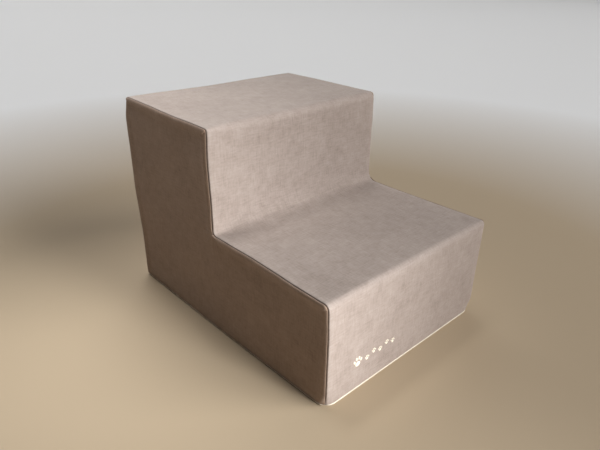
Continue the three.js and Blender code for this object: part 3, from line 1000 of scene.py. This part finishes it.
def softened(node, name, material, radius):
    """The node's own shape, with its edges rounded as casting leaves them."""
    work = bmesh.new()
    work.from_mesh(frame["nodes"][node].data)
    bmesh.ops.remove_doubles(work, verts=work.verts, dist=0.001 * MM)
    bmesh.ops.dissolve_limit(work, angle_limit=math.radians(1), verts=work.verts, edges=work.edges)
    data = bpy.data.meshes.new(name)
    work.to_mesh(data)
    work.free()
    obj = shown(name, data, material)
    edges = obj.modifiers.new("edges", "BEVEL")
    edges.width, edges.segments, edges.limit_method = radius, 3, "ANGLE"
    edges.angle_limit = math.radians(35)
    apply_modifiers(obj)
    return obj


def care_label():
    """A blank satin ribbon, sewn in at the left seam and curling slightly off the cloth."""
    low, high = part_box("care_label")
    length, verts, rows, columns = high.x - low.x, [], 24, 12
    for i in range(rows + 1):
        t = i / rows
        lift = 0.25 * MM + 2.2 * MM * t**2.2
        for j in range(columns + 1):
            w = j / columns
            curl = 0.5 * MM * math.sin(math.pi * w) * t + 0.25 * MM * math.sin(9 * t + 2 * w) * t
            verts.append((low.x + length * t, low.y + lift + curl, low.z + (high.z - low.z) * w))
    obj = finished("care_label_ribbon", verts, grid_faces(rows + 1, columns + 1), SATIN)
    return thickened(obj, 0.25 * MM, offset=1)


# Pads of the printed paw: middle, half width and half height in mm, and lean in degrees.
PAW = [(0, -3.2, 5.6, 4.6, 0), (-7.6, 2.4, 2.1, 3.1, 24), (-2.9, 6.6, 2.2, 3.3, 8), (2.9, 6.6, 2.2, 3.3, -8),
       (7.6, 2.4, 2.1, 3.1, -24)]
# Where each paw is printed on the front: in from the left side and up from the floor in mm, and its size.
TRAIL = [(66, 57, 1.0), (88, 54, 0.5), (104, 59, 0.5), (120, 54, 0.5), (136, 59, 0.5), (152, 54, 0.5)]
# The domed edge of the ink: share of the pad's size, and how far it stands out of the cloth in mm.
INK = [(1.0, -0.25), (1.0, 0.1), (0.94, 0.2), (0.5, 0.24)]


def paw_prints(cloth):
    """A trail of small generic paws, printed in raised ink low on the front of the strip's cloth."""
    parts, sides = [], 24
    faces = grid_faces(len(INK), sides, closed=True)
    faces += [tuple(range(sides))[::-1], tuple((len(INK) - 1) * sides + k for k in range(sides))]
    for (in_x, up, scale), (dx, dz, wide, tall, lean) in [(place, pad) for place in TRAIL for pad in PAW]:
        lean_c, lean_s = math.cos(math.radians(lean)), math.sin(math.radians(lean))
        verts = []
        for (share, proud), (c, s) in [(ring, turn) for ring in INK for turn in circle(sides)]:
            heel = 1 - 0.14 * c**2 if s > 0 and lean == 0 else 1  # the large pad narrows at the top
            px, pz = wide * share * c, tall * share * s * heel
            x, z = lean_c * px - lean_s * pz + dx, lean_s * px + lean_c * pz + dz
            at = Vector(((in_x + scale * x) * MM - SIDE, FRONT - 0.1, (up + scale * z) * MM))
            _, face, _, _ = cloth.ray_cast(at, Vector((0, 1, 0)))
            verts.append(face - Vector((0, proud * MM, 0)))
        parts.append((verts, faces))
    return many("paw_prints", parts, PRINT)


# ---------------------- the pieces, and what each stands for
def place(obj, body, slot, *nodes):
    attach(obj, body)
    if nodes:
        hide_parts(*nodes)
    return obj


strip = place(step_strip(), "stairs", "cover_cloth", "cover_step_strip")
left = place(side_panel(-1, "cover_left_cloth"), "stairs", "cover_cloth", "cover_left_side")
right = place(side_panel(1, "cover_right_cloth"), "stairs", "cover_cloth", "cover_right_side")
back = place(back_panel(), "stairs", "cover_cloth", "cover_back_panel")
lower = place(back_lower_strip(), "stairs", "cover_cloth", "cover_back_lower_strip")
base = place(base_cloth(), "stairs", "base_cloth", "base_panel")
dots = place(base_dots(), "stairs", "base_cloth")

foam_base = place(foam_block("core_base_block", "foam_base_block"), "stairs", "foam", "core_base_block")
foam_top = place(foam_block("core_top_block", "foam_top_block"), "stairs", "foam", "core_top_block")

for sign, which in ((1, "upper"), (-1, "lower")):
    place(zip_tape(sign, which), "stairs", "zip_tape", f"zip_tape_{which}")
    place(zip_coil(sign, which), "stairs", "zip_coil", f"zip_coil_{which}")
for which in ("left", "right"):
    place(bar_tack(which), "stairs", "thread", f"zip_bar_tack_{which}")
place(topstitching("topstitching_upper", UPPER_HEM + STITCH_LINE), "stairs", "thread")
place(topstitching("topstitching_lower", LOWER_HEM - STITCH_LINE), "stairs", "thread")
slider = softened("zip_slider", "zip_slider_cast", ZINC, 0.22 * MM)
place(slider, "zip_slider", "zinc", "zip_slider")
pull = softened("zip_pull_tab", "zip_pull_cast", ZINC, 0.2 * MM)
place(pull, "zip_pull", "zinc", "zip_pull_tab")
label = place(care_label(), "stairs", "label_satin", "care_label")
place(paw_prints(strip), "stairs", "label_satin")


# ---------------------- floor, light and camera
def floor():
    """A pale floor that curves up into a low wall far away, all round."""
    profile = [(0.01, 0), (2, 0), (13, 0), (13.4, 0.07), (13.8, 0.35), (14, 1), (14, 3)]
    sides, reach = 72, profile[-1][0]
    verts = [(r * c, r * s, z) for r, z in profile for c, s in circle(sides)]
    faces = grid_faces(len(profile), sides, closed=True) + [tuple(range(sides))[::-1]]
    s = Shader("pale_floor", roughness=0.75, specular=0.2)
    # a little warmer under the stairs than further away, and a darker wall
    distance = s.node("VectorMath", operation="LENGTH")
    s.put(distance.inputs[0], s.spot())
    away = s.math("DIVIDE", distance.outputs["Value"], reach)
    near, far, wall = (0.47, 0.37, 0.255), (0.92, 0.92, 0.92), (0.45, 0.44, 0.43)
    s.colours(away, (0.75 / reach, near), (1.9 / reach, far), (10 / reach, far), (13 / reach, wall))
    finished("studio_floor", verts, faces, s.material)


def put_up(name, data, place, turn):
    obj = bpy.data.objects.new(name, data)
    obj.rotation_mode = "QUATERNION"
    obj.location, obj.rotation_quaternion = place, turn
    bpy.context.scene.collection.objects.link(obj)
    return obj


def lamp(kind, name, energy, size, place=(0, 0, 0), towards=(0, 0, 0), colour=(1, 1, 1)):
    """A soft light. Its size is an angle for a sun, and a radius in metres for a spot."""
    data = bpy.data.lights.new(name, kind)
    data.energy, data.color = energy, colour
    if kind == "SUN":
        data.angle = size
    else:
        data.shadow_soft_size, data.spot_size, data.spot_blend = size, math.radians(28), 1.0
    put_up(name, data, place, (Vector(towards) - Vector(place)).to_track_quat("-Z", "Y"))


def camera(place, azimuth, elevation, roll, lens):
    """Azimuth 0 looks along +Y; roll turns the picture's frame anticlockwise about the view axis."""
    data = bpy.data.cameras.new("camera")
    data.lens, data.sensor_width = lens, 36
    a, e = math.radians(azimuth), math.radians(elevation)
    backwards = Vector((math.sin(a) * math.cos(e), -math.cos(a) * math.cos(e), math.sin(e)))
    level = (-backwards).to_track_quat("-Z", "Y")
    turn = level @ Matrix.Rotation(math.radians(roll), 3, "Z").to_quaternion()
    bpy.context.scene.camera = put_up("camera", data, place, turn)


floor()
lamp("SUN", "daylight", 3.45, math.radians(40), towards=(-0.42, 0.66, -0.40))
lamp("SPOT", "window", 300, 0.3, (-0.02, -1.9, 0.47), (-0.42, -0.2, 0.135), (0.97, 0.99, 1.0))
lamp("SPOT", "ceiling", 112, 0.3, (-0.2, 0.5, 2.2), (-0.2, 0.2, HEIGHT))
lamp("SUN", "far_window", 1.05, math.radians(50), towards=(-0.45, -0.75, -0.45))
world = bpy.data.worlds.new("studio")
world.use_nodes = True
world.node_tree.nodes["Background"].inputs[0].default_value = (1.0, 0.9, 0.8, 1)
world.node_tree.nodes["Background"].inputs[1].default_value = 0.02
bpy.context.scene.world = world
bpy.context.scene.view_settings.view_transform = "Standard"
camera((-0.6618, -0.6969, 0.6214), -43.318, 26.199, 0.91, 33.118)
